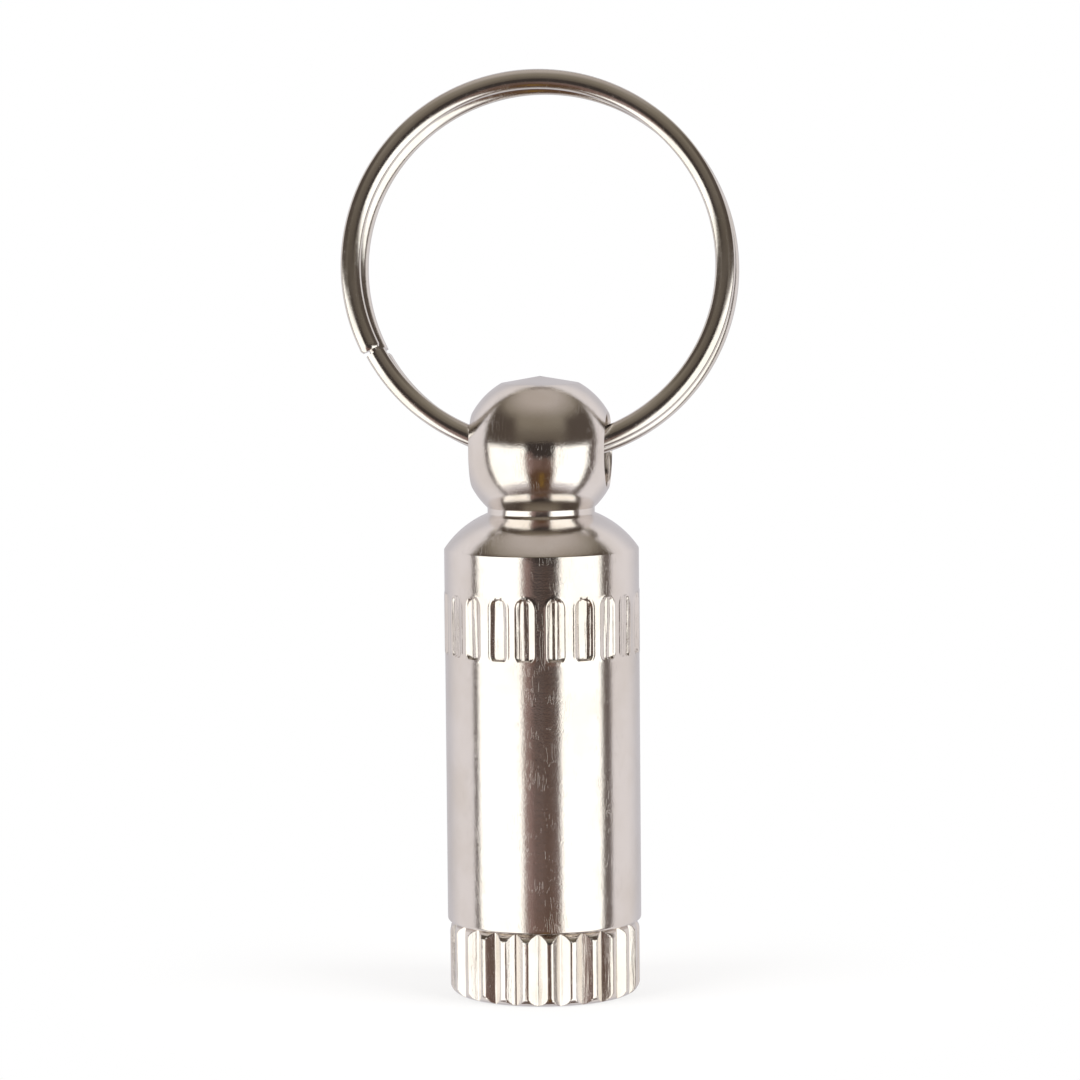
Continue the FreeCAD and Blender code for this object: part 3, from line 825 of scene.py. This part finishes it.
class CAPSULE_OT_cut_plug(bpy.types.Operator):
    """Turn the screw plug, cut its knurl and its thread"""
    bl_idname = "capsule.cut_plug"
    bl_label = "Cut the screw plug"

    def execute(self, context):
        sizes = context.scene.capsule_plug
        screw = context.scene.capsule_thread
        finish = context.scene.capsule_finish
        nickel = metal("plug nickel", finish.nickel, finish.nickel_shade, WIRE_LINES, **PLATE)
        columns = sizes.knurl_count * 20
        flat_edge = (sizes.end_radius, PLUG_LOW.z)
        crest_foot = (sizes.crest_radius, PLUG_LOW.z + sizes.end_chamfer)
        crest_top = (sizes.crest_radius, sizes.head_height - sizes.seam_chamfer)
        seam_edge = (sizes.seam_radius, sizes.head_height)
        corners = [
            (0.0, PLUG_LOW.z, 0.0, 1.0 * MM),
            (*flat_edge, 0.05 * MM, 0.04 * MM),
            *bowed(flat_edge, crest_foot),
            (*crest_foot, 0.05 * MM, 0.5 * MM),
            (*crest_top, 0.05 * MM, 0.04 * MM),
            *bowed(crest_top, seam_edge),
            (*seam_edge, 0.05 * MM, 0.5 * MM),
            (sizes.relief_radius, sizes.head_height, 0.08 * MM, 0.3 * MM),
            (sizes.relief_radius, sizes.relief_top, 0.05 * MM, 0.1 * MM),
            (sizes.core_radius, sizes.relief_top + 0.12 * MM, 0.0, CLOSE_ROWS),
            (sizes.core_radius, PLUG_HIGH.z - STEM_LEAD, 0.05 * MM, 0.1 * MM),
            (sizes.relief_radius - 0.3 * MM, PLUG_HIGH.z, 0.04 * MM, 1.0 * MM),
            (0.0, PLUG_HIGH.z, 0.0, 1.0 * MM),
        ]
        plug = turned("plug_turning", rounded_outline(corners), columns, nickel)
        shaped(plug, knurl_tree(), {
            "Count": sizes.knurl_count, "Crest": sizes.crest_radius, "Width": sizes.knurl_width,
            "Depth": sizes.knurl_depth, "Height": sizes.head_height + 0.1 * MM,
            "Core": screw.crest_radius + 0.1 * MM, "First": sizes.knurl_first,
            "Wear": 0.02 * MM}, nickel)
        shaped(plug, thread_tree(), {
            "Pitch": screw.pitch, "Core": sizes.core_radius, "Crest": screw.crest_radius,
            "Low": sizes.relief_top + 0.2 * MM, "High": PLUG_HIGH.z - STEM_LEAD,
            "Run Out": screw.run_out, "Reach": THREAD_REACH}, nickel)
        face_out(plug)
        polish(plug, 27.0)
        dress(plug, "base", "screw_plug")
        return {"FINISHED"}


class CAPSULE_OT_mould_seal(bpy.types.Operator):
    """Mould the rubber seal, with its fine parting line"""
    bl_idname = "capsule.mould_seal"
    bl_label = "Mould the seal"

    def execute(self, context):
        finish = context.scene.capsule_finish
        wire = (SEAL_HIGH.z - SEAL_LOW.z) / 2.0
        middle = Vector((SEAL_HIGH.x - wire, SEAL_LOW.z + wire))
        parting = 0.015 * MM
        parting_width = 0.12
        steps = 48
        outline = []
        for step in range(steps):
            turn = math.tau * step / steps
            lip = parting * math.exp(-((math.sin(turn) / parting_width) ** 2))
            reach = wire - parting + lip
            outline.append(middle + Vector((reach * math.cos(turn), reach * math.sin(turn))))
        black = rubber("seal rubber", finish.rubber)
        seal = turned("seal_moulding", outline, 160, black, closed=True)
        face_out(seal)
        polish(seal, 60.0)
        dress(seal, "base", "seal_ring")
        return {"FINISHED"}


ROLL_DEPTH = 0.33 * MM      # distance between the outermost and the innermost turn
ROLL_UNEVEN = 0.10 * MM     # how far the roll's ends run out of true


class CAPSULE_OT_roll_slip(bpy.types.Operator):
    """Roll the paper slip into a loose spiral"""
    bl_idname = "capsule.roll_slip"
    bl_label = "Roll the paper slip"

    def execute(self, context):
        sizes = context.scene.capsule_slip
        finish = context.scene.capsule_finish
        outer = SLIP_HIGH.x - sizes.thickness
        inner = outer - ROLL_DEPTH
        steps = int(90 * sizes.turns)
        points = []
        for step in range(steps + 1):
            share = step / steps
            turn = math.tau * sizes.turns * share
            radius = inner + (outer - inner) * share
            high = SLIP_HIGH.z - ROLL_UNEVEN * (1.0 + math.sin(2.3 * turn / math.tau)) / 2.0
            low = SLIP_LOW.z + ROLL_UNEVEN * (1.0 + math.cos(1.7 * turn / math.tau)) / 2.0
            for reach in (radius - sizes.thickness / 2.0, radius + sizes.thickness / 2.0):
                for height in (low, high):
                    points.append((reach * math.cos(turn), reach * math.sin(turn), height))
        faces = []
        for step in range(steps):
            near, far = 4 * step, 4 * step + 4
            for first, second in ((0, 1), (1, 3), (3, 2), (2, 0)):
                faces.append((near + first, near + second, far + second, far + first))
        faces.append((0, 1, 3, 2))
        last = 4 * steps
        faces.append((last, last + 2, last + 3, last + 1))
        slip = new_piece("rolled_slip", points, faces, paper("slip paper", finish.paper))
        face_out(slip)
        polish(slip, 40.0)
        dress(slip, "slip", "paper_slip")
        return {"FINISHED"}


class CAPSULE_OT_wind_ring(bpy.types.Operator):
    """Wind the split ring from two turns of oval wire"""
    bl_idname = "capsule.wind_ring"
    bl_label = "Wind the split ring"

    def execute(self, context):
        sizes = context.scene.capsule_ring
        finish = context.scene.capsule_finish
        steel = metal("ring metal", finish.ring_metal, finish.ring_shade, WIRE_LINES, **WIRE)
        pivot = Vector(JOINTS["ring_swing"]["pos_m"])
        tilt = Euler((math.pi / 2.0 - sizes.lean, 0.0, sizes.turn))
        centre = pivot + tilt.to_matrix() @ Vector((0.0, sizes.rise, 0.0))
        ring = new_piece("wire_winding", [(0.0, 0.0, 0.0)], [], steel)
        shaped(ring, ring_tree(), {**titled(sizes), "Tilt": tuple(tilt), "Centre": tuple(centre)}, steel)
        face_out(ring)
        polish(ring, 50.0)
        dress(ring, "ring", "split_ring")
        return {"FINISHED"}


class CAPSULE_OT_set_stage(bpy.types.Operator):
    """Lay the floor, hang the soft lights and place the camera"""
    bl_idname = "capsule.set_stage"
    bl_label = "Set the stage"

    def execute(self, context):
        sizes = context.scene.capsule_stage
        context.scene.view_settings.view_transform = "Standard"
        lay_floor(sizes, context.scene.capsule_finish.floor)
        light_room(sizes)
        place_camera(context.scene, sizes)
        return {"FINISHED"}


FLOOR_GLOW = 0.7            # share of the room's white in the floor, right under the object
GLOW_START, GLOW_FULL = 4.0 * MM, 26.0 * MM     # distances over which that share grows to 1


def lay_floor(sizes, tone):
    """A round pale floor that brightens to the room's own white away from the object."""
    pale, web, shader, place = new_material("pale floor")
    shader.inputs["Base Color"].default_value = (*tone, 1.0)
    shader.inputs["Roughness"].default_value = 0.8
    away = web.ramp(web.vector("LENGTH", place), GLOW_START, GLOW_FULL)
    share = web.plus(FLOOR_GLOW, web.times(1.0 - FLOOR_GLOW, away))
    glow = web.result("ShaderNodeEmission", {"Color": (1.0, 1.0, 1.0, 1.0), "Strength": 1.0})
    blend = web.result("ShaderNodeMixShader", {0: share, 1: shader.outputs[0], 2: glow})
    web.put(pale.node_tree.nodes["Material Output"].inputs[0], blend)
    outline = [Vector((0.0, PLUG_LOW.z)), Vector((sizes.floor_radius, PLUG_LOW.z))]
    floor = turned("floor", outline, 96, pale)
    floor.visible_glossy = False


# Each zone of the room: where it lies in degrees right of the camera, and above the horizon, its soft
# edge, and its colour. Later zones lie over earlier ones.
ROOM_ZONES = [
    ("rear left", (-240, -135), (-91, 120), 40, (0.62, 0.60, 0.63)),
    ("rear right", (135, 240), (-91, 120), 40, (0.62, 0.60, 0.63)),
    ("table", (-95, 95), (-91, -52), 14, (0.15, 0.11, 0.095)),
    ("low ceiling", (-88, 88), (9, 78), 7, (0.15, 0.125, 0.10)),
    ("middle ceiling", (-88, 88), (33, 80), 26, (0.26, 0.225, 0.18)),
    ("high ceiling", (-78, 78), (62, 150), 32, (0.52, 0.465, 0.425)),
    ("dull left", (-84, -34), (8, 48), 16, (0.095, 0.075, 0.062)),
    ("dull right", (34, 84), (8, 48), 16, (0.095, 0.075, 0.062)),
    ("left frame", (-90, -82), (-60, 12), 2, (0.13, 0.105, 0.10)),
    ("right frame", (73, 89), (-60, 12), 3, (0.16, 0.13, 0.12)),
    ("left window", (-82, -22), (-43, 8), 5, (1.55, 1.52, 1.44)),
    ("right window", (20, 74), (-43, 8), 5, (1.55, 1.52, 1.44)),
    ("lower room", (-22, 20), (-60, -7), 5, (0.19, 0.122, 0.102)),
    ("dark floor", (-22, 20), (-60, -24), 14, (0.11, 0.06, 0.035)),
    ("dark middle", (-22, 20), (-8, 17), 5, (0.05, 0.04, 0.036)),
    ("warm edge", (-24, -13), (-30, 0), 6, (0.30, 0.205, 0.185)),
    ("warm centre", (1, 9), (-24, -7), 5, (0.14, 0.088, 0.068)),
    ("amber strip", (-1, 4), (-52, -30), 4, (0.26, 0.15, 0.03)),
]
ROOM_TONE = (0.83, 0.785, 0.785)
BACKDROP_LEAN = 0.45
LAMPS = {"left_lamp": (-0.35, -0.25, 0.45), "right_lamp": (0.4, -0.15, 0.35)}
LAMP_SIZE = 0.35
LAMP_ENERGY = 2.4


def light_room(sizes):
    """A pale room whose windows and dark places are set by direction, plus two soft lamps."""
    world = bpy.data.worlds.new("pale room")
    world.use_nodes = True
    bpy.context.scene.world = world
    web = Web(world.node_tree)
    way = web.node("ShaderNodeTexCoord").outputs["Generated"]
    front = (math.sin(sizes.azimuth), -math.cos(sizes.azimuth), 0.0)
    right = (math.cos(sizes.azimuth), math.sin(sizes.azimuth), 0.0)
    rise = web.node("ShaderNodeSeparateXYZ", {"Vector": way}).outputs[2]
    # the backdrop leans away overhead, so the ceiling's edge lies behind the object there
    ahead = web.plus(web.vector("DOT_PRODUCT", way, front),
                     web.times(BACKDROP_LEAN, web.math("MAXIMUM", rise, 0.0)))
    aside = web.vector("DOT_PRODUCT", way, right)
    side = web.math("DEGREES", web.math("ARCTAN2", aside, ahead))
    up = web.math("DEGREES", web.math("ARCSINE", rise))
    tone = (*ROOM_TONE, 1.0)
    for _, sides, heights, soft, zone in ROOM_ZONES:
        share = web.times(web.between(side, *sides, soft), web.between(up, *heights, soft))
        tone = web.mix(share, tone, zone)
    seen = web.node("ShaderNodeLightPath").outputs["Is Camera Ray"]
    tone = web.mix(seen, tone, (1.0, 1.0, 1.0))
    background = world.node_tree.nodes["Background"]
    web.put(background.inputs["Color"], tone)
    for name, place in LAMPS.items():
        lamp = bpy.data.lights.new(name, "AREA")
        lamp.size = LAMP_SIZE
        lamp.energy = LAMP_ENERGY
        lit = bpy.data.objects.new(name, lamp)
        lit.location = place
        lit.rotation_euler = (-Vector(lit.location)).to_track_quat("-Z", "Y").to_euler()
        lit.visible_glossy = False
        lit.visible_camera = False
        bpy.context.scene.collection.objects.link(lit)


def place_camera(scene, sizes):
    """A camera that looks at the aim point from its azimuth and elevation."""
    data = bpy.data.cameras.new("camera")
    data.sensor_width = 36.0
    data.lens = sizes.lens
    data.clip_start = 0.01
    view = bpy.data.objects.new("camera", data)
    scene.collection.objects.link(view)
    right = Vector((math.cos(sizes.azimuth), math.sin(sizes.azimuth), 0.0))
    aim = Vector((0.0, 0.0, sizes.aim_height)) + right * sizes.aim_side
    back = Vector((math.sin(sizes.azimuth) * math.cos(sizes.elevation),
                   -math.cos(sizes.azimuth) * math.cos(sizes.elevation), math.sin(sizes.elevation)))
    view.location = aim + back * sizes.distance
    aimed = (-back).to_track_quat("-Z", "Y").to_matrix() @ Matrix.Rotation(sizes.roll, 3, "Z")
    view.rotation_euler = aimed.to_euler()
    scene.camera = view


# ---------------------------------------------------------------- panel and registration

class CAPSULE_PT_panel(bpy.types.Panel):
    """Sizes, finishes and steps of the capsule"""
    bl_idname = "CAPSULE_PT_panel"
    bl_label = "Screw capsule"
    bl_space_type = "VIEW_3D"
    bl_region_type = "UI"
    bl_category = "Capsule"

    def draw(self, context):
        layout = self.layout
        for step in STEPS:
            layout.operator(step.bl_idname)
        for slot in GROUPS:
            box = layout.box()
            group = getattr(context.scene, slot)
            box.label(text=slot.replace("_", " ").capitalize())
            for name in own_properties(group):
                box.prop(group, name)


GROUPS = {
    "capsule_barrel": CapsuleBarrelSizes,
    "capsule_flutes": CapsuleFluteSizes,
    "capsule_plug": CapsulePlugSizes,
    "capsule_thread": CapsuleThreadSizes,
    "capsule_ring": CapsuleRingSizes,
    "capsule_slip": CapsuleSlipSizes,
    "capsule_finish": CapsuleFinish,
    "capsule_stage": CapsuleStageSizes,
}
STEPS = (
    CAPSULE_OT_set_stage,
    CAPSULE_OT_turn_barrel,
    CAPSULE_OT_cut_plug,
    CAPSULE_OT_mould_seal,
    CAPSULE_OT_roll_slip,
    CAPSULE_OT_wind_ring,
)
CLASSES = (*GROUPS.values(), *STEPS, CAPSULE_PT_panel)


def register():
    for item in CLASSES:
        bpy.utils.register_class(item)
    for name, group in GROUPS.items():
        setattr(bpy.types.Scene, name, PointerProperty(type=group))


def unregister():
    for name in GROUPS:
        delattr(bpy.types.Scene, name)
    for item in reversed(CLASSES):
        bpy.utils.unregister_class(item)


def main():
    register()
    bpy.ops.capsule.set_stage()
    bpy.ops.capsule.turn_barrel()
    bpy.ops.capsule.cut_plug()
    bpy.ops.capsule.mould_seal()
    bpy.ops.capsule.roll_slip()
    bpy.ops.capsule.wind_ring()


if __name__ == "__main__":
    main()
